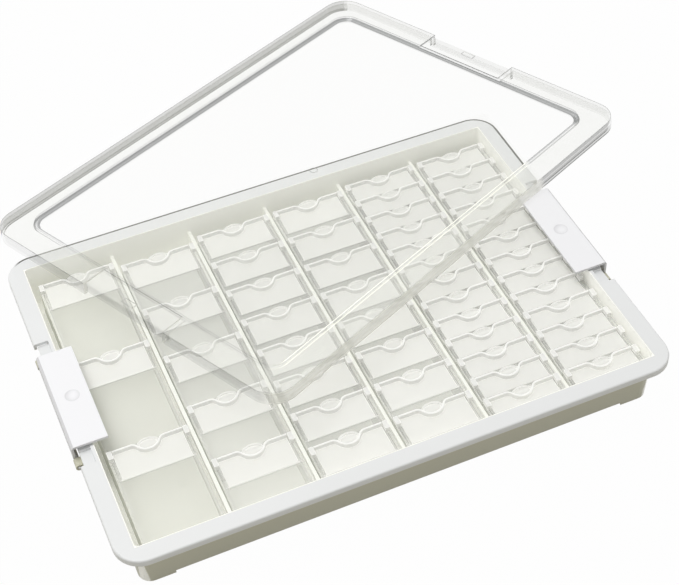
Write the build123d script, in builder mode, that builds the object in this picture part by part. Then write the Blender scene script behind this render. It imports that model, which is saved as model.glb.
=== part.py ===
"""Bead storage box: a flat white tray with six columns of small flip-top boxes, two side
latches and a clear lid that lies tipped across the back of the tray.

Frame: millimetres, +Z up, +X along the tray's long side, +Y towards its back.
The origin is the centre of the tray's flat underside; the corner feet reach below it.
"""
from build123d import *
from math import atan2, cos, degrees, radians, sin, tan
import os

os.makedirs("parts", exist_ok=True)

# The boxes: columns counted from the left, rows counted from the front
BOX_COUNTS = (3, 5, 8, 8, 13, 13)
LARGE_PITCH = 72.5
MEDIUM_PITCH = 42.5
SMALL_PITCH = 27.1
SLIM_PITCH = 16.9
BOX_PITCHES = (LARGE_PITCH, MEDIUM_PITCH, SMALL_PITCH, SMALL_PITCH, SLIM_PITCH, SLIM_PITCH)
COLUMN_PITCH = 53.0
DIVIDER = 2.2
SIDE_GAP = 0.9
ROW_GAP = 0.3
BOX_HEIGHT = 21.0
BOX_WALL = 1.2
BOX_FLOOR = 1.2
BOX_CORNER = 1.0

# The cover snapped on each box, open at the back where the flip door lies
COVER_THICK = 1.8
COVER_RAIL = 3.0
COVER_FRONT = 2.4
PLUG_DEPTH = 1.4
PLUG_WALL = 0.9
PLUG_GAP = 0.1
EAR_LENGTH = 5.8
EAR_HEIGHT = 3.0
EAR_BACK = 0.3
EAR_CORNER = 0.6

# The flip door at the back of each cover
DOOR_LENGTH = 20.0
DOOR_THICK = 1.2
DOOR_GAP = 0.3
PIN_DIAMETER = 0.8
PIN_LENGTH = 1.2
PIN_CLEARANCE = 0.3
LIP_WIDTH = 1.1
LIP_HEIGHT = 3.0
LIP_OUTER_RADIUS = 4.3
LIP_BOWL_RADIUS = 7.6
LIP_BEND = 61.9
TAB_WIDTH = 13.0
TAB_FRONT = 6.5
TAB_OVERHANG = 2.1
SLIM_TAB_OVERHANG = 0.8
TAB_LIFT = 0.3
TAB_THICK = 1.0
TAB_RIM = 1.2
TAB_DISH = 0.5

# Doors with nothing over them, from the front; the lid or the right latch covers the others
FREE_DOORS = (1, 2, 3, 3, 7, 4)

# The tray
TRAY_FLOOR = 2.0
TRAY_WALL = 2.0
OUTER_DRAFT = 3.0
INNER_DRAFT = 1.5
LEFT_ROOM = 4.2
RIGHT_ROOM = 0.2
BACK_ROOM = 6.7
RIM_RISE = 10.0
RIM_SIDE = 11.5
RIM_FRONT = 11.0
RIM_THICK = 2.2
RIM_SKIRT = 4.5
RIM_WALL = 1.8
RIM_ROUND = 1.2
RIM_CORNER = 17.0
DIVIDER_DROP = 1.0
FOOT_LENGTH = 20.0
FOOT_HEIGHT = 2.0

# The latches at the two short sides
LATCH_LENGTH = 75.0
LATCH_PLATE = 1.7
LATCH_LIFT = 0.9
LATCH_REACH = 9.0
LATCH_LEG = 1.4
LATCH_LEG_OUT = 1.5
LATCH_BEVEL = 1.5
LATCH_BARREL = 3.4
LATCH_DROP = 8.4
LATCH_PIN = 2.0
LATCH_PIN_LENGTH = 7.0
LATCH_PIN_CLEARANCE = 0.5
LATCH_RUNNING_GAP = 0.4
DIMPLE_DIAMETER = 9.0
DIMPLE_DEPTH = 0.8
END_POCKET = 12.5
SEAT_DROP = 1.3
POCKET_DROP = 2.7
INNER_LIP = 2.4
LUG_LENGTH = 6.0
LUG_WALL = 1.2

# The clear lid
LID_GAP = 0.2
LID_WALL = 1.8
LID_HEIGHT = 8.2
LID_STEP = 0.7
LID_STEP_DROP = 3.0
LID_CORNER = 17.0
LID_BORDER = 17.6
PANEL_DROP = 2.5
PANEL_SLOPE = 3.0
PANEL_CORNER = 9.0
NOTCH_CUT = 5.0
NOTCH_INSET = 2.5
NOTCH_DROP = 1.2
CATCH_LENGTH = 10.0
CATCH_WIDTH = 4.0
CATCH_HEIGHT = 0.8
GATE_MARK = 5.0
GATE_MARK_HEIGHT = 0.3

# How the lid lies: its centre to the right of the tray's centre and in front of the rim's
# back edge, its turn, and the gap to what carries it
LID_RIGHT = 40.1
LID_INSET = 7.7
LID_TURN = 25.56
LID_REST_GAP = 0.2
BACK_LEFT_REST = 16.1
BACK_RIGHT_REST = 14.6

# Sizes that follow from the ones above
COLUMNS = len(BOX_COUNTS)
BOX_WIDTH = COLUMN_PITCH - DIVIDER - 2 * SIDE_GAP
COLUMN_SHIFT = (LEFT_ROOM - RIGHT_ROOM) / 2
BOX_TOP = TRAY_FLOOR + BOX_HEIGHT
TUB_TOP = BOX_TOP - COVER_THICK
WINDOW_WIDTH = BOX_WIDTH - 2 * COVER_RAIL
DOOR_WIDTH = WINDOW_WIDTH - 2 * DOOR_GAP
DOOR_AXIS_Z = TUB_TOP + COVER_THICK / 2
PIN_HOLE = PIN_DIAMETER + PIN_CLEARANCE
STACK_LENGTH = max(count * pitch for count, pitch in zip(BOX_COUNTS, BOX_PITCHES))

FLOOR_X = (COLUMNS - 1) * COLUMN_PITCH + BOX_WIDTH + LEFT_ROOM + RIGHT_ROOM
FLOOR_Y = STACK_LENGTH + BACK_ROOM
STACK_FRONT = -FLOOR_Y / 2 + ROW_GAP
RIM_TOP = BOX_TOP + RIM_RISE
OPENING_X = FLOOR_X + 2 * tan(radians(INNER_DRAFT)) * (RIM_TOP - TRAY_FLOOR)
OPENING_Y = FLOOR_Y + 2 * tan(radians(INNER_DRAFT)) * (RIM_TOP - TRAY_FLOOR)
BASE_X = FLOOR_X + 2 * (TRAY_WALL - tan(radians(OUTER_DRAFT)) * TRAY_FLOOR)
BASE_Y = FLOOR_Y + 2 * (TRAY_WALL - tan(radians(OUTER_DRAFT)) * TRAY_FLOOR)
POCKET_CORNER = BOX_CORNER + min(ROW_GAP, RIGHT_ROOM)
RIM_X = OPENING_X + 2 * RIM_SIDE
RIM_Y = OPENING_Y + 2 * RIM_FRONT

LATCH_TOP = RIM_TOP + LATCH_LIFT + LATCH_PLATE
LATCH_OUTER = RIM_X / 2 + LATCH_LEG_OUT
LATCH_AXIS_X = LATCH_OUTER - LATCH_BARREL / 2
LATCH_AXIS_Z = RIM_TOP - LATCH_DROP
SEAT_OUTER = LATCH_AXIS_X - LATCH_BARREL / 2 - LATCH_RUNNING_GAP
SEAT_Z = RIM_TOP - SEAT_DROP
LUG_START = LATCH_LENGTH / 2 + LATCH_RUNNING_GAP
SEAT_LENGTH = LATCH_LENGTH + 2 * END_POCKET

LID_X = RIM_X + 2 * (LID_GAP + LID_WALL)
LID_Y = RIM_Y + 2 * (LID_GAP + LID_WALL)
LID_BACK = RIM_Y / 2 - LID_INSET
NOTCH_LENGTH = LATCH_LENGTH - NOTCH_CUT
BORDER_UNDER = LID_HEIGHT - LID_WALL
PANEL_TOP = LID_HEIGHT - PANEL_DROP
PANEL_UNDER = PANEL_TOP - LID_WALL


def column_x(column):
    """Middle of a column of boxes, columns counted from 0 at the left."""
    return COLUMN_SHIFT + (column - (COLUMNS - 1) / 2) * COLUMN_PITCH


def box_backs(column):
    """Back faces of a column's boxes, from the front box to the back one."""
    pitch = BOX_PITCHES[column]
    return [STACK_FRONT + (row + 1) * pitch - ROW_GAP for row in range(BOX_COUNTS[column])]


def box_depth(column):
    return BOX_PITCHES[column] - ROW_GAP


def hinge_reach(column):
    """From a box's back face forward to the hinge line of its door."""
    return min(DOOR_LENGTH, box_depth(column) - COVER_FRONT)


def export(block, name):
    block.part.label = name
    export_step(block.part, f"parts/{name}.step")


# Tray: drafted walls, flat rim with a short skirt, column dividers and corner feet
with BuildPart() as tray:
    with BuildSketch():
        RectangleRounded(BASE_X, BASE_Y, RIM_CORNER - RIM_FRONT + TRAY_WALL)
    extrude(amount=RIM_TOP - RIM_THICK / 2, taper=-OUTER_DRAFT)
    with BuildSketch(Plane.XY.offset(RIM_TOP - RIM_SKIRT)):
        RectangleRounded(RIM_X, RIM_Y, RIM_CORNER)
        RectangleRounded(RIM_X - 2 * RIM_WALL, RIM_Y - 2 * RIM_WALL, RIM_CORNER - RIM_WALL,
                         mode=Mode.SUBTRACT)
    extrude(amount=RIM_SKIRT)
    with BuildSketch(Plane.XY.offset(RIM_TOP - RIM_THICK)):
        RectangleRounded(RIM_X, RIM_Y, RIM_CORNER)
    extrude(amount=RIM_THICK)
    fillet(tray.faces().sort_by(Axis.Z)[-1].outer_wire().edges(), radius=RIM_ROUND)
    with BuildSketch(Plane.XY.offset(TRAY_FLOOR)):
        RectangleRounded(FLOOR_X, FLOOR_Y, POCKET_CORNER)
    extrude(amount=RIM_TOP - TRAY_FLOOR, taper=-INNER_DRAFT, mode=Mode.SUBTRACT)
    with BuildSketch(Plane.XY.offset(TRAY_FLOOR)):
        with Locations((COLUMN_SHIFT, 0)):
            with GridLocations(COLUMN_PITCH, 0, COLUMNS - 1, 1):
                Rectangle(DIVIDER, OPENING_Y)
    extrude(amount=BOX_HEIGHT - DIVIDER_DROP)
    with BuildSketch():
        RectangleRounded(BASE_X, BASE_Y, RIM_CORNER - RIM_FRONT + TRAY_WALL)
        Rectangle(BASE_X - 2 * FOOT_LENGTH, BASE_Y, mode=Mode.SUBTRACT)
        Rectangle(BASE_X, BASE_Y - 2 * FOOT_LENGTH, mode=Mode.SUBTRACT)
    extrude(amount=-FOOT_HEIGHT)
    for side in (-1, 1):
        seat_start = OPENING_X / 2
        boss_width = SEAT_OUTER - seat_start
        boss_x = side * (seat_start + boss_width / 2)
        # The rim gives way to a seat block under the latch
        with BuildSketch(Plane.XY.offset(RIM_TOP - RIM_SKIRT)):
            with Locations((side * (SEAT_OUTER + RIM_SIDE / 2), 0)):
                Rectangle(RIM_SIDE, SEAT_LENGTH)
        extrude(amount=RIM_SKIRT, mode=Mode.SUBTRACT)
        with BuildSketch(Plane.XY.offset(RIM_TOP - RIM_SKIRT)):
            with Locations((boss_x, 0)):
                Rectangle(boss_width, SEAT_LENGTH)
        extrude(amount=RIM_SKIRT)
        with BuildSketch(Plane.XY.offset(SEAT_Z)):
            with Locations((boss_x, 0)):
                Rectangle(boss_width, 2 * LUG_START)
        extrude(amount=SEAT_DROP, mode=Mode.SUBTRACT)
        # Pockets in the rim beyond the two ends of the latch
        pocket_length = SEAT_LENGTH / 2 - LUG_START
        pocket_start = seat_start + INNER_LIP
        with BuildSketch(Plane.XY.offset(RIM_TOP - POCKET_DROP)):
            for end in (-1, 1):
                with Locations((side * (pocket_start + SEAT_OUTER) / 2,
                                end * (LUG_START + pocket_length / 2))):
                    Rectangle(SEAT_OUTER - pocket_start, pocket_length)
        extrude(amount=POCKET_DROP, mode=Mode.SUBTRACT)
        # Lugs that carry the latch's pins
        for end in (-1, 1):
            with BuildSketch(Plane.XZ.offset(-end * LUG_START)):
                with Locations((side * (pocket_start + LATCH_AXIS_X) / 2, LATCH_AXIS_Z)):
                    Rectangle(LATCH_AXIS_X - pocket_start, LATCH_PIN + 2 * LUG_WALL)
                with Locations((side * (pocket_start + SEAT_OUTER) / 2,
                                (LATCH_AXIS_Z + RIM_TOP - POCKET_DROP) / 2)):
                    Rectangle(SEAT_OUTER - pocket_start, RIM_TOP - POCKET_DROP - LATCH_AXIS_Z)
                with Locations((side * LATCH_AXIS_X, LATCH_AXIS_Z)):
                    Circle(LATCH_PIN / 2 + LUG_WALL)
                    Circle((LATCH_PIN + LATCH_PIN_CLEARANCE) / 2, mode=Mode.SUBTRACT)
            extrude(amount=-end * LUG_LENGTH)
export(tray, "tray")


def latch(side, name):
    """A latch: top plate over the rim, leg down its outer face, barrel and two pins."""
    inner = side * (OPENING_X / 2 - LATCH_REACH)
    outer = side * LATCH_OUTER
    leg_inner = side * (LATCH_OUTER - LATCH_LEG)
    plate_under = LATCH_TOP - LATCH_PLATE
    axis_place = (side * LATCH_AXIS_X, LATCH_AXIS_Z)
    dimple_radius = (DIMPLE_DIAMETER ** 2 / 4 + DIMPLE_DEPTH ** 2) / (2 * DIMPLE_DEPTH)
    with BuildPart() as block:
        with BuildSketch(Plane.XZ):
            with BuildLine():
                Polyline(
                    (inner, plate_under),
                    (inner, LATCH_TOP),
                    (outer - side * LATCH_BEVEL, LATCH_TOP),
                    (outer, LATCH_TOP - LATCH_BEVEL),
                    (outer, LATCH_AXIS_Z),
                    (leg_inner, LATCH_AXIS_Z),
                    (leg_inner, plate_under),
                    close=True,
                )
            make_face()
            with Locations(axis_place):
                Circle(LATCH_BARREL / 2)
        extrude(amount=LATCH_LENGTH / 2, both=True)
        with BuildSketch(Plane.XZ):
            with Locations(axis_place):
                Circle(LATCH_PIN / 2)
        extrude(amount=LATCH_LENGTH / 2 + LATCH_PIN_LENGTH, both=True)
        with Locations((side * (OPENING_X / 2 + INNER_LIP / 2), 0,
                        LATCH_TOP + dimple_radius - DIMPLE_DEPTH)):
            Sphere(dimple_radius, mode=Mode.SUBTRACT)
    export(block, name)


latch(-1, "latch_left")
latch(1, "latch_right")


def tubs(column, name):
    """The open tubs of one column, standing on the tray's floor."""
    depth = box_depth(column)
    middles = [(column_x(column), back - depth / 2) for back in box_backs(column)]
    with BuildPart() as block:
        with BuildSketch(Plane.XY.offset(TRAY_FLOOR)):
            with Locations(*middles):
                RectangleRounded(BOX_WIDTH, depth, BOX_CORNER)
        extrude(amount=TUB_TOP - TRAY_FLOOR)
        with BuildSketch(Plane.XY.offset(TRAY_FLOOR + BOX_FLOOR)):
            with Locations(*middles):
                Rectangle(BOX_WIDTH - 2 * BOX_WALL, depth - 2 * BOX_WALL)
        extrude(amount=TUB_TOP - TRAY_FLOOR - BOX_FLOOR, mode=Mode.SUBTRACT)
    export(block, name)


def covers(column, name):
    """The covers of one column: plate, window for the door, plug ring, ears and pin holes."""
    x = column_x(column)
    depth = box_depth(column)
    reach = hinge_reach(column)
    backs = box_backs(column)
    middles = [(x, back - depth / 2) for back in backs]
    window_length = reach + DOOR_THICK / 2 + DOOR_GAP
    windows = [(x, back - window_length / 2) for back in backs]
    plug_x = BOX_WIDTH - 2 * (BOX_WALL + PLUG_GAP)
    plug_y = depth - 2 * (BOX_WALL + PLUG_GAP)
    pins = [(back - reach, DOOR_AXIS_Z) for back in backs]
    ear_places = [(x + side * (BOX_WIDTH - COVER_RAIL) / 2, back - EAR_BACK - EAR_LENGTH / 2)
                  for back in backs for side in (-1, 1)]
    with BuildPart() as block:
        with BuildSketch(Plane.XY.offset(TUB_TOP)):
            with Locations(*middles):
                RectangleRounded(BOX_WIDTH, depth, BOX_CORNER)
            with Locations(*windows):
                Rectangle(WINDOW_WIDTH, window_length, mode=Mode.SUBTRACT)
        extrude(amount=COVER_THICK)
        with BuildSketch(Plane.XY.offset(TUB_TOP)):
            with Locations(*middles):
                Rectangle(plug_x, plug_y)
                Rectangle(plug_x - 2 * PLUG_WALL, plug_y - 2 * PLUG_WALL, mode=Mode.SUBTRACT)
            with Locations(*windows):
                Rectangle(WINDOW_WIDTH, window_length, mode=Mode.SUBTRACT)
        extrude(amount=-PLUG_DEPTH)
        with BuildSketch(Plane.XY.offset(BOX_TOP)):
            with Locations(*ear_places):
                RectangleRounded(COVER_RAIL, EAR_LENGTH, EAR_CORNER)
        extrude(amount=EAR_HEIGHT)
        for side in (-1, 1):
            with BuildSketch(Plane.YZ.offset(x + side * WINDOW_WIDTH / 2)):
                with Locations(*pins):
                    Circle(PIN_HOLE / 2)
            extrude(amount=side * (PIN_LENGTH + PIN_CLEARANCE), mode=Mode.SUBTRACT)
    export(block, name)


# The raised wavy lip along a door's free edge, drawn about the middle of that edge
with BuildSketch() as lip:
    with BuildLine():
        edge = Line((-DOOR_WIDTH / 2, 0),
                    (-(LIP_OUTER_RADIUS + LIP_BOWL_RADIUS) * sin(radians(LIP_BEND)), 0))
        turn = (edge @ 1 + (LIP_OUTER_RADIUS * sin(radians(LIP_BEND)),
                            -LIP_OUTER_RADIUS * (1 - cos(radians(LIP_BEND)))))
        bend = TangentArc(edge @ 1, turn, tangent=edge % 1)
        bowl = TangentArc(bend @ 1, (0, turn.Y - LIP_BOWL_RADIUS * (1 - cos(radians(LIP_BEND)))),
                          tangent=bend % 1)
        mirror(about=Plane.YZ)
    trace(line_width=LIP_WIDTH)


def doors(column, backs, name):
    """Flip doors of one column whose boxes have these back faces."""
    x = column_x(column)
    reach = hinge_reach(column)
    overhang = SLIM_TAB_OVERHANG if BOX_PITCHES[column] == SLIM_PITCH else TAB_OVERHANG
    tab_depth = TAB_FRONT + overhang
    plate_length = reach - DOOR_GAP
    axes = [(back - reach, DOOR_AXIS_Z) for back in backs]
    plates = [(x, back - reach + plate_length / 2) for back in backs]
    lips = [(x, back - DOOR_GAP - LIP_WIDTH / 2) for back in backs]
    tabs = [(x, back + overhang - tab_depth / 2) for back in backs]
    plate_top = DOOR_AXIS_Z + DOOR_THICK / 2
    tab_under = BOX_TOP + TAB_LIFT
    with BuildPart() as block:
        with BuildSketch(Plane.XY.offset(DOOR_AXIS_Z - DOOR_THICK / 2)):
            with Locations(*plates):
                Rectangle(DOOR_WIDTH, plate_length)
        extrude(amount=DOOR_THICK)
        with BuildSketch(Plane.YZ.offset(x)):
            with Locations(*axes):
                Circle(DOOR_THICK / 2)
        extrude(amount=DOOR_WIDTH / 2, both=True)
        with BuildSketch(Plane.YZ.offset(x)):
            with Locations(*axes):
                Circle(PIN_DIAMETER / 2)
        extrude(amount=WINDOW_WIDTH / 2 + PIN_LENGTH, both=True)
        with BuildSketch(Plane.XY.offset(plate_top)):
            with Locations(*lips):
                add(lip.sketch)
        extrude(amount=LIP_HEIGHT)
        with BuildSketch(Plane.XY.offset(tab_under)):
            with Locations(*tabs):
                Ellipse(TAB_WIDTH / 2, tab_depth / 2)
        extrude(amount=TAB_THICK)
        with BuildSketch(Plane.XY.offset(plate_top)):
            with Locations(*tabs):
                Ellipse(TAB_WIDTH / 2, tab_depth / 2)
            with Locations(*[(x, back + tab_depth / 2 - DOOR_GAP) for back in backs]):
                Rectangle(TAB_WIDTH, tab_depth, mode=Mode.SUBTRACT)
        extrude(amount=tab_under - plate_top)
        with BuildSketch(Plane.XY.offset(tab_under + TAB_THICK - TAB_DISH)):
            with Locations(*tabs):
                Ellipse(TAB_WIDTH / 2 - TAB_RIM, tab_depth / 2 - TAB_RIM)
        extrude(amount=TAB_DISH, mode=Mode.SUBTRACT)
    export(block, name)


for column in range(COLUMNS):
    number = column + 1
    tubs(column, f"tubs_column_{number}")
    covers(column, f"covers_column_{number}")
    backs = box_backs(column)
    for row in range(FREE_DOORS[column]):
        doors(column, [backs[row]], f"door_{number}_{row + 1}")
    doors(column, backs[FREE_DOORS[column]:], f"doors_covered_{number}")


# The lid's own plane, its skirt's lower edge, laid on the latch and on two places of the rim
latch_rest = Vector(RIM_X / 2, LATCH_LENGTH / 2, LATCH_TOP + LID_REST_GAP)
left_rest = Vector(BACK_LEFT_REST - RIM_X / 2, RIM_Y / 2, RIM_TOP + LID_REST_GAP)
right_rest = Vector(RIM_X / 2 - BACK_RIGHT_REST, RIM_Y / 2, RIM_TOP + LID_REST_GAP - PANEL_UNDER)
lid_normal = (latch_rest - left_rest).cross(right_rest - left_rest).normalized()
slope_x = -lid_normal.X / lid_normal.Z
slope_y = -lid_normal.Y / lid_normal.Z
lid_z = (left_rest.Z + slope_x * (LID_RIGHT - left_rest.X)
         + slope_y * (LID_BACK - left_rest.Y))
turn_x = cos(radians(LID_TURN))
turn_y = sin(radians(LID_TURN))
lid_plane = Plane(origin=(LID_RIGHT, LID_BACK, lid_z),
                  x_dir=(turn_x, turn_y, slope_x * turn_x + slope_y * turn_y),
                  z_dir=lid_normal)

# Lid: skirt with a step, border, sloped wall down to the panel, notches and catches
slope_angle = degrees(atan2(PANEL_SLOPE, PANEL_DROP))
slope_shift = LID_WALL * (1 - sin(radians(slope_angle))) / cos(radians(slope_angle))
recess = LID_BORDER + PANEL_SLOPE
island = recess - slope_shift
notch_x = LID_X / 2 - NOTCH_INSET
with BuildPart() as lid:
    with BuildSketch(lid_plane):
        RectangleRounded(LID_X, LID_Y, LID_CORNER)
    extrude(amount=LID_HEIGHT - LID_STEP_DROP)
    with BuildSketch(lid_plane.offset(LID_HEIGHT - LID_STEP_DROP)):
        RectangleRounded(LID_X - 2 * LID_STEP, LID_Y - 2 * LID_STEP, LID_CORNER - LID_STEP)
    extrude(amount=LID_STEP_DROP)
    with BuildSketch(lid_plane):
        RectangleRounded(LID_X - 2 * LID_WALL, LID_Y - 2 * LID_WALL, LID_CORNER - LID_WALL)
    extrude(amount=BORDER_UNDER, mode=Mode.SUBTRACT)
    with BuildSketch(lid_plane.offset(PANEL_UNDER)):
        RectangleRounded(LID_X - 2 * island, LID_Y - 2 * island, PANEL_CORNER)
    extrude(amount=BORDER_UNDER - PANEL_UNDER, taper=-slope_angle)
    with BuildSketch(lid_plane.offset(PANEL_TOP)):
        RectangleRounded(LID_X - 2 * recess, LID_Y - 2 * recess, PANEL_CORNER)
    extrude(amount=PANEL_DROP, taper=-slope_angle, mode=Mode.SUBTRACT)
    # Latch notches: skirt set in and border set down along the middle of each short side
    for side in (-1, 1):
        border_inner = LID_X / 2 - LID_BORDER
        with BuildSketch(lid_plane):
            with Locations((side * (notch_x + NOTCH_INSET / 2), 0)):
                Rectangle(NOTCH_INSET, NOTCH_LENGTH)
        extrude(amount=LID_HEIGHT, mode=Mode.SUBTRACT)
        with BuildSketch(lid_plane):
            with Locations((side * (notch_x - LID_WALL / 2), 0)):
                Rectangle(LID_WALL, NOTCH_LENGTH + 2 * LID_WALL)
            for end in (-1, 1):
                with Locations((side * (notch_x + (NOTCH_INSET - LID_WALL) / 2),
                                end * (NOTCH_LENGTH + LID_WALL) / 2)):
                    Rectangle(NOTCH_INSET, LID_WALL)
        extrude(amount=BORDER_UNDER)
        with BuildSketch(lid_plane.offset(BORDER_UNDER - NOTCH_DROP)):
            with Locations((side * (border_inner + notch_x) / 2, 0)):
                Rectangle(notch_x - border_inner, NOTCH_LENGTH + 2 * LID_WALL)
        extrude(amount=NOTCH_DROP)
        with BuildSketch(lid_plane.offset(LID_HEIGHT - NOTCH_DROP)):
            with Locations((side * (border_inner + notch_x) / 2, 0)):
                Rectangle(notch_x - border_inner, NOTCH_LENGTH)
        extrude(amount=NOTCH_DROP, mode=Mode.SUBTRACT)
        with BuildSketch(lid_plane.offset(LID_HEIGHT - NOTCH_DROP)):
            with Locations((side * (notch_x - CATCH_WIDTH), 0)):
                Rectangle(CATCH_WIDTH, CATCH_LENGTH)
        extrude(amount=CATCH_HEIGHT)
    with BuildSketch(lid_plane.offset(PANEL_TOP)):
        Circle(GATE_MARK / 2)
    extrude(amount=GATE_MARK_HEIGHT)
export(lid, "lid")
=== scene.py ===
# %% [markdown]
# A bead storage box, dressed for its picture.
# The real object is a flat white tray of moulded plastic. Six columns of small flip-top
# boxes stand in it, a latch folds down at each short side, and the clear lid has been
# lifted off and laid tipped across the back. The solids already have the right shapes and
# places, so this script gives them their plastics, sets the camera at the photograph's
# angle and lights them softly. All lengths are in metres.

# %% Load the solids
import bmesh
import bpy
from math import cos, degrees, radians, sin
from mathutils import Matrix, Vector


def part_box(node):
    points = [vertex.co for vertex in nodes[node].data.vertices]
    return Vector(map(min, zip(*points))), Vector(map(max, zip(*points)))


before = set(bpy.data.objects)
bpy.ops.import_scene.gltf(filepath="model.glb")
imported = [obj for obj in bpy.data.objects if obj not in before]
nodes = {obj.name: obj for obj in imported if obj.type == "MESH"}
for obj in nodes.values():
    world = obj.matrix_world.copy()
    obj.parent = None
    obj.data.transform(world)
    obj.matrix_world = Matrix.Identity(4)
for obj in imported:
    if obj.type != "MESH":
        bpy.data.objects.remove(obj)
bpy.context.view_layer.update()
tray_low, tray_high = (Vector(corner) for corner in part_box("tray"))

# %% [markdown]
# The camera stands where the photographer stood: to the front left of the tray, looking
# down at a little under fifty degrees. Its place is an aim point on the plane of the
# tray's rim, a distance, and three angles that were fitted to the straight edges of the
# tray and of the lid. The lens follows from the focal length in pixels of the picture.

# %% Camera
PICTURE_WIDTH = 679
FOCAL_PIXELS = 1500.0
SENSOR_MM = 36.0
FAR_CLIP = 20.0
TURN = radians(-21.04)
RISE = radians(46.62)
ROLL = radians(-3.05)
DISTANCE = 0.9251
RIM_TOP = 0.033
AIM = Vector((0.0130, 0.0114, RIM_TOP))

back = Vector((sin(TURN) * cos(RISE), -cos(TURN) * cos(RISE), sin(RISE)))
right = (-back).cross(Vector((0, 0, 1))).normalized()
up = back.cross(right)
rolled_right = right * cos(ROLL) + up * sin(ROLL)
rolled_up = up * cos(ROLL) - right * sin(ROLL)
camera_data = bpy.data.cameras.new("camera")
camera_data.lens = FOCAL_PIXELS * SENSOR_MM / PICTURE_WIDTH
camera_data.sensor_width = SENSOR_MM
camera_data.clip_end = FAR_CLIP
camera = bpy.data.objects.new("camera", camera_data)
turn_matrix = Matrix((rolled_right, rolled_up, back)).transposed().to_4x4()
camera.matrix_world = Matrix.Translation(AIM + back * DISTANCE) @ turn_matrix
bpy.context.collection.objects.link(camera)
bpy.context.scene.camera = camera
print("lens", round(camera_data.lens, 2), "mm")

# %% [markdown]
# Shader maths reads better as sums than as boxes and wires. This small class wraps one
# output socket, so that noise * 0.1 + 0.8 adds the Math nodes by itself.


# %% A socket that does maths
class Socket:
    """One output of a shader node, with the sums that the materials use."""

    def __init__(self, tree, output):
        self.tree = tree
        self.output = output

    def _math(self, operation, first, second):
        settings = {"operation": operation}
        node = Material.node(self.tree, "ShaderNodeMath", settings, {0: first, 1: second})
        return Socket(self.tree, node.outputs[0])

    def __add__(self, other):
        return self._math("ADD", self, other)

    def __sub__(self, other):
        return self._math("SUBTRACT", self, other)

    def __rsub__(self, other):
        return self._math("SUBTRACT", other, self)

    def __mul__(self, other):
        return self._math("MULTIPLY", self, other)

    def __pow__(self, other):
        return self._math("POWER", self, other)

    __radd__ = __add__
    __rmul__ = __mul__


# %% [markdown]
# A second class holds a material while it is being made. One method of it, node, adds a node
# of any kind from its type, its settings and its inputs, and make hands back the new node's
# result as well. The others are the questions that the plastics of this box ask of a point:
# how far it lies along a direction, which way its face looks, and whether it is past a
# level. They all read the solid's own directions, so a finish stays where it is when its
# piece turns on a hinge.


# %% A material under construction
X_AXIS = (1, 0, 0)
Y_AXIS = (0, 1, 0)
Z_AXIS = (0, 0, 1)


class Material:
    """A node material with its Principled shader and output ready."""

    def __init__(self, name):
        self.material = bpy.data.materials.new(name)
        self.material.use_nodes = True
        self.tree = self.material.node_tree
        self.shader = self.tree.nodes["Principled BSDF"]

    @staticmethod
    def node(tree, kind, settings, inputs):
        """Adds a node, sets its settings first and then its inputs, values or sockets."""
        node = tree.nodes.new(kind)
        for key, value in settings.items():
            setattr(node, key, value)
        for key, value in inputs.items():
            if isinstance(value, Socket):
                tree.links.new(value.output, node.inputs[key])
            else:
                node.inputs[key].default_value = value
        return node

    def make(self, kind, output, settings=None, **inputs):
        """One node, and the socket that carries its result."""
        names = {key.replace("_", " "): value for key, value in inputs.items()}
        node = self.node(self.tree, kind, settings or {}, names)
        return Socket(self.tree, node.outputs[output])

    def feed(self, **inputs):
        """Sets or links the Principled shader's own sockets."""
        for key, value in inputs.items():
            socket = self.shader.inputs[key.replace("_", " ")]
            if isinstance(value, Socket):
                self.tree.links.new(value.output, socket)
            else:
                socket.default_value = value

    def mix(self, factor, first, second):
        """A colour between two colours, each a socket or three numbers."""
        first, second = (colour if isinstance(colour, Socket) else (*colour, 1)
                         for colour in (first, second))
        inputs = {0: factor, 6: first, 7: second}
        node = self.node(self.tree, "ShaderNodeMix", {"data_type": "RGBA"}, inputs)
        return Socket(self.tree, node.outputs[2])

    def dot(self, first, second):
        settings = {"operation": "DOT_PRODUCT"}
        node = self.node(self.tree, "ShaderNodeVectorMath", settings, {0: first, 1: second})
        return Socket(self.tree, node.outputs["Value"])

    def magnitude(self, value):
        """A value without its sign."""
        return self.make("ShaderNodeMath", 0, {"operation": "ABSOLUTE"}, Value=value)

    def clamp(self, value):
        """A value held between 0 and 1."""
        return self.make("ShaderNodeClamp", 0, Value=value)

    def place(self):
        """Where a point lies, in the solid's own directions."""
        return self.make("ShaderNodeTexCoord", "Object")

    def noise(self, scale, detail):
        """Soft random patches, fixed to the solid."""
        return self.make("ShaderNodeTexNoise", "Fac",
                         Vector=self.place(), Scale=scale, Detail=detail)

    def along(self, direction):
        """How far a point lies along a direction."""
        return self.dot(self.place(), tuple(direction))

    def world_normal(self):
        return self.make("ShaderNodeNewGeometry", "True Normal")

    def looks(self, direction):
        """1 where a face looks in a direction, 0 where it looks sideways, -1 away from it."""
        turn = {"vector_type": "NORMAL", "convert_from": "WORLD", "convert_to": "OBJECT"}
        normal = self.make("ShaderNodeVectorTransform", "Vector", turn,
                           Vector=self.world_normal())
        return self.dot(normal, tuple(direction))

    def step(self, value, level, blur):
        """Rises from 0 to 1 where a value passes a level, over a blur."""
        return self.clamp((value - level) * (1 / blur) + 0.5)

    def above(self, level, blur=0.0001):
        """Rises from 0 to 1 where a point is higher than a level."""
        return self.step(self.along(Z_AXIS), level, blur)


# %% [markdown]
# The eye reads clear plastic by its edges: wherever a sheet turns a corner, the light runs
# along the bend and draws a line. A Bevel node tells where those corners are, because its
# rounded normal differs from the true one only near them. One minus the dot product of the
# two is a mask that is zero on the flats and rises along every edge.

# %% A mask for edges
BEVEL_SAMPLES = 4


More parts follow.
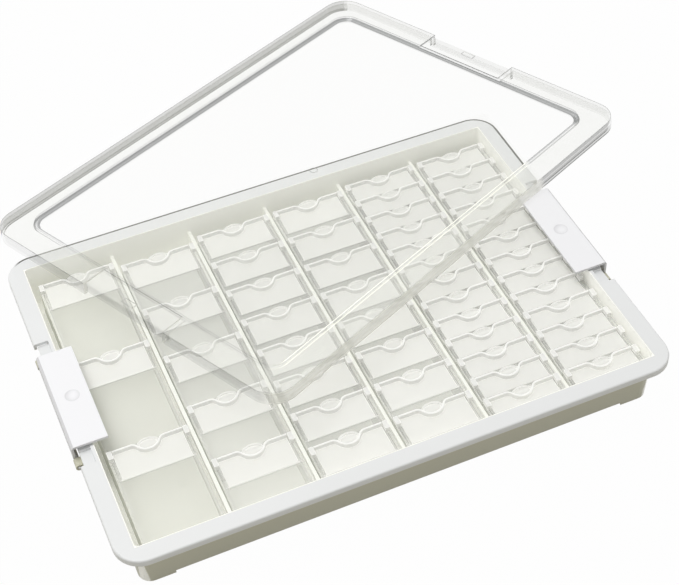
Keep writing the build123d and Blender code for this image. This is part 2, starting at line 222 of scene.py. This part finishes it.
def edge_lines(made, radius, gain):
    """Rises from 0 on flat faces to 1 along edges, over about the radius."""
    rounded = made.make("ShaderNodeBevel", "Normal", {"samples": BEVEL_SAMPLES}, Radius=radius)
    return made.clamp((1 - made.dot(rounded, made.world_normal())) * gain)


# %% [markdown]
# Injection-moulded white plastic is never one even colour: it has a faint bloom where the
# melt cooled at different speeds, a very fine grain from the mould, and a sheen that
# varies a little. Large soft noise makes the bloom, fine noise makes the grain, and the
# same large noise nudges the roughness.

# %% White moulded plastic
PLASTIC_IOR = 1.49
WHITE_BLOOM = 14.0
WHITE_GRAIN = 900.0
GRAIN_STRENGTH = 0.06
GRAIN_DEPTH = 0.0003
SHEEN_SPREAD = 0.12


def moulded_white(name, light, shade, roughness):
    """Starts a white plastic with bloom and grain, and returns it with its colour."""
    made = Material(name)
    bloom = made.noise(WHITE_BLOOM, detail=3.0)
    grain = made.noise(WHITE_GRAIN, detail=2.0)
    surface = made.make("ShaderNodeBump", "Normal",
                        Height=grain, Strength=GRAIN_STRENGTH, Distance=GRAIN_DEPTH)
    made.feed(Roughness=bloom * SHEEN_SPREAD + roughness, Normal=surface, IOR=PLASTIC_IOR)
    return made, made.mix(bloom, shade, light)


# %% [markdown]
# The tray has its clean white only on the rim. Inside it is painted paler and creamier than
# the rim, as painted bounce light for the light that bounces between the walls and the boxes,
# and a faint painted glow stands for the light that wanders through the plastic. Its outer
# walls are painted darker and warmer, as painted shade, and the tops of the dividers between
# the columns are a little darker and creamier than the rest of the inside. One moulding is one
# solid, so these tones follow the distance from the middle and the height, and not separate
# pieces.

# %% The parts of the tray
INSIDE_X = 0.1605
INSIDE_Y = 0.1145
DIVIDERS_X = 0.1500
DIVIDERS_Y = 0.1120
DIVIDER_TOP = 0.0213
RIM_SKIRT_FOOT = RIM_TOP - 0.0045
FINE_BLUR = 0.0004
SOFT_BLUR = 0.001
TRAY_RIM = (0.82, 0.83, 0.84)
TRAY_RIM_SHADE = (0.79, 0.80, 0.80)
# Painted bounce light: the inside is brighter and creamier than the rim.
TRAY_INSIDE_LIT = (1.0, 1.0, 0.95)
# Painted shade: the outer walls are darker and warmer.
TRAY_OUTSIDE_SHADE = (0.59, 0.58, 0.46)
# A painted glow for the inside, for light that wanders through the plastic.
TRAY_GLOW = (0.09, 0.09, 0.085)
DIVIDER_CREST = (0.86, 0.87, 0.81)
BLACK = (0, 0, 0)

made, rim_colour = moulded_white("tray white", TRAY_RIM, TRAY_RIM_SHADE, roughness=0.34)
side_x = made.magnitude(made.along(X_AXIS))
side_y = made.magnitude(made.along(Y_AXIS))
outside = made.clamp(made.step(side_x, INSIDE_X, FINE_BLUR)
                     + made.step(side_y, INSIDE_Y, FINE_BLUR))
middle = ((1 - made.step(side_x, DIVIDERS_X, SOFT_BLUR))
          * (1 - made.step(side_y, DIVIDERS_Y, SOFT_BLUR)))
crest = middle * made.above(DIVIDER_TOP, FINE_BLUR)
rim = made.clamp(made.above(RIM_SKIRT_FOOT, SOFT_BLUR) * outside)
below_rim = made.mix(crest, made.mix(outside, TRAY_INSIDE_LIT, TRAY_OUTSIDE_SHADE), DIVIDER_CREST)
tray_colour = made.mix(rim, below_rim, rim_colour)
# The painted glow lights only the inside, not the outer walls.
made.feed(Emission_Color=made.mix(outside, TRAY_GLOW, BLACK), Emission_Strength=1.0)
print("tray parts told apart")

# %% [markdown]
# Where the clear lid lies over the back of the tray, a thin dark line of painted shade runs
# along the rim's outer edge. The rim's outline is a rectangle with round corners, and past its
# straight parts the distance from a corner's centre tells how close a point is to that edge.

# %% The painted shade line on the rim's back edge
# The colour of the painted shade line.
TRAY_EDGE_SHADE = (0.10, 0.10, 0.09)
RIM_HALF_X = 0.1715
RIM_CORNER = 0.017
EDGE_WIDTH = 0.0019
EDGE_DEPTH = 0.0016
EDGE_BLUR = 0.000004
LID_COVERS_X = -0.163
LID_COVERS_Y = 0.066
COVERS_X_BLUR = 0.004
COVERS_Y_BLUR = 0.002

corner_x = made.clamp(side_x - (RIM_HALF_X - RIM_CORNER))
corner_y = made.clamp(side_y - (tray_high.y - RIM_CORNER))
corner_square = corner_x ** 2.0 + corner_y ** 2.0
rim_edge = made.step(corner_square, (RIM_CORNER - EDGE_WIDTH) ** 2, EDGE_BLUR)
under_lid = (made.step(made.along(X_AXIS), LID_COVERS_X, COVERS_X_BLUR)
             * made.step(made.along(Y_AXIS), LID_COVERS_Y, COVERS_Y_BLUR))
# Painted shade: a thin dark line along the rim's outer edge, under the lid.
edge_shade = rim_edge * under_lid * made.above(RIM_TOP - EDGE_DEPTH, FINE_BLUR)
made.feed(Base_Color=made.mix(edge_shade, tray_colour, TRAY_EDGE_SHADE))
tray_white = made.material
print("tray plastic made")

# %% [markdown]
# The latches are a little whiter than the tray. Their flat tops catch the light, and painted
# shade makes them darker wherever they turn down or dip into the dimple for the finger, so the
# colour follows how far a face leans from level.

# %% The latches' plastic
LATCH_TOP = (0.90, 0.90, 0.92)
LATCH_SHADE = (0.88, 0.88, 0.91)
# Painted shade for faces that turn down or dip into the dimple.
LATCH_TURN_SHADE = (0.72, 0.72, 0.74)
TURN_GAIN = 14.0

made, latch_colour = moulded_white("latch white", LATCH_TOP, LATCH_SHADE, roughness=0.36)
# Painted shade where a face leans from level.
turned_shade = made.clamp((1 - made.magnitude(made.looks(Z_AXIS))) * TURN_GAIN)
made.feed(Base_Color=made.mix(turned_shade, latch_colour, LATCH_TURN_SHADE))
latch_white = made.material
print("latch plastic made")

# %% [markdown]
# The milky plastics of the boxes are thin, so they are drawn as partly see-through skins and
# not as thick glass. A skin seen edge-on hides more than one seen face-on, and its edge lines
# hide most and are painted whiter, as painted highlights. Upright walls are clearer than
# floors and lids, which lets the light reach down between the boxes as it does in the real
# tray. Milky plastic also scatters most light onwards instead of stopping it, so for shadow
# rays the skins are clearer still. Solid lumps, such as the ears on a cover and the wavy lip
# on a door, are thick and almost white, so between two levels the skin gets a whiter, closer
# look, all but the thin dished tab behind the lip.

# %% Milky plastics
BOX_TOP = 0.023
DOOR_FACE = 0.0227
TAB_TOP = 0.0247
LIP_TOP = 0.0262
LUMP_WHITE = (0.97, 0.97, 0.95)
# Painted highlight: the colour of the edge lines.
LINE_HIGHLIGHT = (0.96, 0.96, 0.93)
LEVEL_FACE = 0.5
LEVEL_BLUR = 0.2
MILKY_BLOOM = 40.0
BLOOM_HIDES = 0.05
MILKY_SHEEN_SPREAD = 0.08
MILKY_LINE_RADIUS = 0.0009
MILKY_LINE_GAIN = 6.0
JUST_OVER = 0.0002
NO_LUMP = (1.0, 2.0, 0.0)


def milky(name, colour, flat, wall, edge_on, line_on, roughness, passes, lump=NO_LUMP):
    """A see-through skin: how much its flats, its walls, its edges and its lumps hide.

    A lump is a lower level, an upper level and how much more the skin hides between them.
    """
    made = Material(name)
    aside = made.make("ShaderNodeLayerWeight", "Facing", Blend=0.5)
    bloom = made.noise(MILKY_BLOOM, detail=3.0)
    line = edge_lines(made, MILKY_LINE_RADIUS, MILKY_LINE_GAIN)
    level = made.step(made.magnitude(made.looks(Z_AXIS)), LEVEL_FACE, LEVEL_BLUR)
    hides = level * (flat - wall) + wall
    hides = hides + aside ** 2.0 * (1 - hides) * edge_on
    hides = hides + (bloom - 0.5) * BLOOM_HIDES + line * line_on
    low, high, closeness = lump
    dish = level * (1 - made.above(TAB_TOP)) * made.above(DOOR_FACE + JUST_OVER)
    thick = (made.above(low) - made.above(high)) * (1 - dish)
    shadow = made.make("ShaderNodeLightPath", "Is Shadow Ray")
    made.feed(Alpha=made.clamp(hides + thick * closeness) * (1 - shadow * passes))
    # Painted highlight: the edge lines are whiter.
    tint = made.mix(line, colour, LINE_HIGHLIGHT)
    made.feed(Base_Color=made.mix(thick, tint, LUMP_WHITE))
    made.feed(Roughness=bloom * MILKY_SHEEN_SPREAD + roughness, IOR=PLASTIC_IOR)
    return made.material


# %% [markdown]
# Three kinds of piece are milky. The tubs have cloudy floors, and the large ones at the left
# are a little darker, as painted shade. A cover is the clearest, apart from its ears. The
# doors are the whitest, because the light falls on them first.

# %% The tubs, the covers and the doors
EARS = (BOX_TOP + JUST_OVER, RIM_TOP, 0.6)
LIPS = (DOOR_FACE + JUST_OVER / 2, LIP_TOP, 0.35)
TUB_CLOUDY = (0.92, 0.93, 0.87)
# Painted shade: the large tubs at the left are darker.
TUB_CLOUDY_SHADED = (0.82, 0.83, 0.75)
COVER_PALE = (0.97, 0.97, 0.94)
TUB = {"flat": 0.84, "wall": 0.34, "edge_on": 0.3, "line_on": 0.20, "roughness": 0.25,
       "passes": 0.7}
COVER = {"flat": 0.16, "wall": 0.22, "edge_on": 0.3, "line_on": 0.55, "roughness": 0.12,
         "passes": 0.85, "lump": EARS}
DOOR = {"flat": 0.62, "wall": 0.45, "edge_on": 0.5, "line_on": 0.50, "roughness": 0.08,
        "passes": 0.92, "lump": LIPS}

tub_milky = milky("tub milky", TUB_CLOUDY, **TUB)
# The large tubs get the darker colour of painted shade.
tub_shaded = milky("tub shaded", TUB_CLOUDY_SHADED, **TUB)
cover_milky = milky("cover milky", COVER_PALE, **COVER)
door_milky = milky("door milky", COVER_PALE, **DOOR)
print("milky plastics made")

# %% [markdown]
# The lid is clear: its big panel hardly tints what is below, its border is a thin frosty
# veil, and what draws it are its bends. Real glass in the renderer would bend the whole
# tray out of place behind it, so the lid is a clear skin with its bends painted on. It lies
# tipped, so its own up direction is read from its largest face, and depths under its top
# tell the border, the slope down to the panel, and the skirt apart.

# %% The lid's own directions
LID_TURN = radians(25.56)

lid_mesh = nodes["lid"].data
panel = max(lid_mesh.polygons, key=lambda face: face.area)
lid_up = panel.normal.copy() if panel.normal.z > 0 else -panel.normal
lid_top = max(lid_up.dot(vertex.co) for vertex in lid_mesh.vertices)
lid_front = Vector((sin(LID_TURN), -cos(LID_TURN), 0))
print("lid leans", round(degrees(lid_up.angle(Vector(Z_AXIS))), 2), "degrees")

# %% The parts of the lid
BORDER_DEPTH = 0.0020
SLOPE_MIDDLE = 0.0013
SLOPE_FOOT = 0.0027
SILL_DEPTH = 0.0070
LID_BLUR = 0.0003
SLOPE_BLUR = 0.0010
STEEP_TILT = 0.25
LEVEL_TILT = 0.85
TILT_BLUR = 0.1
LID_BLOOM = 70.0

made = Material("lid clear")
bloom = made.noise(LID_BLOOM, detail=5.0)
tilt = made.magnitude(made.looks(lid_up))
height = made.along(lid_up)
skirt = 1 - made.step(tilt, STEEP_TILT, TILT_BLUR)
slope = (1 - made.step(tilt, LEVEL_TILT, TILT_BLUR)) * (1 - skirt)
border = made.step(height, lid_top - BORDER_DEPTH, LID_BLUR) * (1 - skirt) * (1 - slope)
foot = (slope * made.step(height, lid_top - SLOPE_FOOT, LID_BLUR)
        * (1 - made.step(height, lid_top - SLOPE_MIDDLE, SLOPE_BLUR)))
sill_level = 1 - made.step(height, lid_top - SILL_DEPTH, LID_BLUR)
print("lid parts told apart")

# %% [markdown]
# A bend takes the light of whatever is behind it, so the bends are painted with reflections.
# On the two long sides of the lid the bends over the pale boxes get a bright painted
# reflection, and past the tray's edge, where there is only the ground, a dark painted
# reflection. The line between the two lies inside the tray's own outline, the further the
# higher the lid is above the rim. The skirt of the long front side looks at the viewer, and
# the slope behind that side looks away, so both get a stronger look than the others.

# %% Which bends get bright painted reflections
LEAN_RIGHT = 0.34
LEAN_BACK = 0.88
RIM_INSET = 0.002
PAST_BLUR = 0.004
LONG_SIDE = 0.35
LONG_SIDE_BLUR = 0.2
FRONT_SIDE = 0.6
BACK_SIDE = 0.45
SIDE_BLUR = 0.1

right_level = tray_high.x - RIM_INSET + LEAN_RIGHT * RIM_TOP
back_level = tray_high.y + LEAN_BACK * RIM_TOP
past_right = made.step(made.along((1, 0, LEAN_RIGHT)), right_level, PAST_BLUR)
past_back = made.step(made.along((0, 1, LEAN_BACK)), back_level, PAST_BLUR)
past = made.clamp(past_right + past_back)
long_side = made.step(made.magnitude(made.looks(lid_front)), LONG_SIDE, LONG_SIDE_BLUR)
shines = long_side * (1 - past)
front = made.step(made.looks(lid_front), FRONT_SIDE, SIDE_BLUR)
slope_behind = slope * made.step(made.looks(-lid_front), BACK_SIDE, SIDE_BLUR)
print("lid bends sorted")

# %% [markdown]
# Thin lines of painted reflection run along the upper edges of the border, along the foot of
# the slope and, past the tray, along the lower edge of the front skirt: bright where the bends
# shine and dark elsewhere. The other edges of the lid are left out: drawn too, they would run
# together into broad grey bands at this distance.

# %% The lid's lines
CREST_DEPTH = 0.0005
LEDGE_TOP = 0.0021
LEDGE_FOOT = 0.0029
LID_LINE_RADIUS = 0.0007
LID_LINE_GAIN = 12.0
FAINT_LINES = 0.8

lid_crest = made.step(height, lid_top - CREST_DEPTH, LID_BLUR)
ledge = (made.step(height, lid_top - LEDGE_FOOT, LID_BLUR)
         * (1 - made.step(height, lid_top - LEDGE_TOP, LID_BLUR)))
drawn = made.clamp(lid_crest + ledge * (1 - skirt) + front * past * sill_level)
line = edge_lines(made, LID_LINE_RADIUS, LID_LINE_GAIN) * drawn
strength = made.clamp(past + long_side + FAINT_LINES)
print("lid lines drawn")

# %% [markdown]
# What is left is how much each part hides, and its colour. The hiding shares of all parts add
# up in Alpha, and most light passes on its way to the shadow below. The colours of the bends
# and lines are painted reflections, and a faint glow on the shining lines and slope feet is a
# painted gleam.

# %% Clear plastic
LID_VEIL = (0.80, 0.81, 0.76)
# Painted reflections: the dark lines, the dark bends and the bright bends.
LID_LINE_DARK_REFLECTION = (0.10, 0.10, 0.10)
LID_DARK_REFLECTION = (0.30, 0.31, 0.31)
LID_BRIGHT_REFLECTION = (0.95, 0.95, 0.89)
# The colour of a painted gleam, given as emission.
LID_PAINTED_GLEAM = (0.35, 0.35, 0.30)
PANEL_HIDES = 0.04
OVER_TRAY_HIDES = 0.06
BORDER_HIDES = 0.12
SKIRT_HIDES = 0.06
FRONT_HIDES = 0.28
SLOPE_HIDES = 0.10
FOOT_HIDES = 0.60
BEHIND_HIDES = 0.55
SILL_HIDES = 0.45
LINE_HIDES = 0.95
FROST_LEAST = 0.6
FROST_SPREAD = 0.8
LID_PASSES = 0.8
LID_ROUGHNESS = 0.05
LID_SHEEN_SPREAD = 0.06

frost = bloom * FROST_SPREAD + FROST_LEAST
hides = border * frost * BORDER_HIDES + slope * SLOPE_HIDES * strength
hides = hides + PANEL_HIDES + (1 - past) * OVER_TRAY_HIDES
hides = hides + foot * made.clamp(past + long_side) * FOOT_HIDES + slope_behind * BEHIND_HIDES
hides = hides + skirt * (front * FRONT_HIDES + SKIRT_HIDES)
hides = hides + skirt * front * sill_level * SILL_HIDES + line * strength * LINE_HIDES
shadow = made.make("ShaderNodeLightPath", "Is Shadow Ray")
made.feed(Alpha=made.clamp(hides) * (1 - shadow * LID_PASSES))
# Painted reflections: bright where the bends shine, dark elsewhere.
bend_reflection = made.mix(shines, LID_DARK_REFLECTION, LID_BRIGHT_REFLECTION)
tint = made.mix(made.clamp(slope + skirt), LID_VEIL, bend_reflection)
made.feed(Base_Color=made.mix(line, tint, made.mix(shines, LID_LINE_DARK_REFLECTION, LID_BRIGHT_REFLECTION)))
# A painted gleam that glows on the shining lines and slope feet.
painted_gleam = made.mix(shines * made.clamp(line + foot), BLACK, LID_PAINTED_GLEAM)
made.feed(Emission_Color=painted_gleam, Emission_Strength=1.0)
made.feed(Roughness=bloom * LID_SHEEN_SPREAD + LID_ROUGHNESS, IOR=PLASTIC_IOR)
lid_clear = made.material
print("clear plastic made")

# %% [markdown]
# Every solid gets the plastic it is moulded from. The start of its name says which, and the
# first start that fits counts.

# %% Dress the solids
FINISHES = (
    ("tray", tray_white),
    ("latch", latch_white),
    ("lid", lid_clear),
    ("tubs_column_1", tub_shaded),
    ("tubs", tub_milky),
    ("covers", cover_milky),
    ("door", door_milky),
)

for name, solid in nodes.items():
    finish = next(material for start, material in FINISHES if name.startswith(start))
    solid.data.materials.clear()
    solid.data.materials.append(finish)
print("dressed", len(nodes), "solids")

# %% [markdown]
# The photograph is cut out on pure white. A ground that is white only for rays that look at
# it, straight, in a gloss or through clear plastic, gives that without pouring more light
# on the object. The floor and the sky both use this, so it is one helper.

# %% Ground that looks white
PURE_WHITE = {"Color": (1, 1, 1, 1), "Strength": 1.0}
SEEN_RAYS = ("Is Camera Ray", "Is Glossy Ray", "Is Transmission Ray")


def seen(tree):
    """1 for the rays that look at the ground or the sky."""
    rays = Material.node(tree, "ShaderNodeLightPath", {}, {})
    straight, mirrored, passed = (Socket(tree, rays.outputs[kind]) for kind in SEEN_RAYS)
    return straight + mirrored + passed


def whiten(tree, plain, white, share):
    """Shows the white shader in place of the plain one, by a share."""
    blend = Material.node(tree, "ShaderNodeMixShader", {}, {0: share})
    tree.links.new(plain.outputs[0], blend.inputs[1])
    tree.links.new(white.outputs[0], blend.inputs[2])
    output = next(node for node in tree.nodes if node.type.startswith("OUTPUT"))
    tree.links.new(blend.outputs[0], output.inputs["Surface"])


# %% [markdown]
# The floor is a plain square just under the tray's feet. A small share of its own pale
# surface stays visible, which keeps a trace of the shadow.

# %% Floor
FLOOR_COLOUR = (0.38, 0.36, 0.29, 1)
FLOOR_ROUGHNESS = 0.9
FLOOR_HALF = 4.0
FLOOR_GAP = 0.0002
FLOOR_WHITE = 0.985

floor_z = tray_low.z - FLOOR_GAP
floor_mesh = bpy.data.meshes.new("floor")
sheet = bmesh.new()
bmesh.ops.create_grid(sheet, x_segments=1, y_segments=1, size=FLOOR_HALF)
bmesh.ops.translate(sheet, verts=sheet.verts, vec=(0, 0, floor_z))
sheet.to_mesh(floor_mesh)
sheet.free()
made = Material("white ground")
made.feed(Base_Color=FLOOR_COLOUR, Roughness=FLOOR_ROUGHNESS)
white = made.node(made.tree, "ShaderNodeEmission", {}, PURE_WHITE)
whiten(made.tree, made.shader, white, seen(made.tree) * FLOOR_WHITE)
floor_mesh.materials.append(made.material)
floor = bpy.data.objects.new("floor", floor_mesh)
bpy.context.collection.objects.link(floor)
print("floor at", round(floor_z * 1000, 1), "mm")

# %% [markdown]
# Light comes from a broad soft sheet overhead, a little to the left and behind, so the tops
# are bright and the front wall under the rim falls into shade, which the painted shade in the
# tray's outer colour makes darker and warmer. A second sheet at the right is very weak, and an
# even sky fills the rest.

# %% Sky
SKY_COLOUR = (1.0, 0.995, 0.97, 1)
SKY_STRENGTH = 0.56

scene = bpy.context.scene
scene.view_settings.view_transform = "Standard"
world = bpy.data.worlds.new("studio")
world.use_nodes = True
scene.world = world
sky_tree = world.node_tree
sky = sky_tree.nodes["Background"]
sky.inputs["Color"].default_value = SKY_COLOUR
sky.inputs["Strength"].default_value = SKY_STRENGTH
white = Material.node(sky_tree, "ShaderNodeBackground", {}, PURE_WHITE)
whiten(sky_tree, sky, white, seen(sky_tree))
print("sky strength", SKY_STRENGTH)

# %% Lamps
SHEET_WIDTH = 0.9


def soft_sheet(name, place, power):
    """A square area lamp at a place, turned to the middle of the tray."""
    data = bpy.data.lights.new(name, "AREA")
    data.energy = power
    data.size = SHEET_WIDTH
    lamp = bpy.data.objects.new(name, data)
    aim = (-Vector(place)).to_track_quat("-Z", "Y").to_matrix().to_4x4()
    lamp.matrix_world = Matrix.Translation(place) @ aim
    bpy.context.collection.objects.link(lamp)
    return lamp


lamps = [
    soft_sheet("overhead", place=(-0.45, 0.35, 1.7), power=15.5),
    soft_sheet("right fill", place=(1.2, -0.5, 1.2), power=0.5),
]
print("lamps", len(lamps))
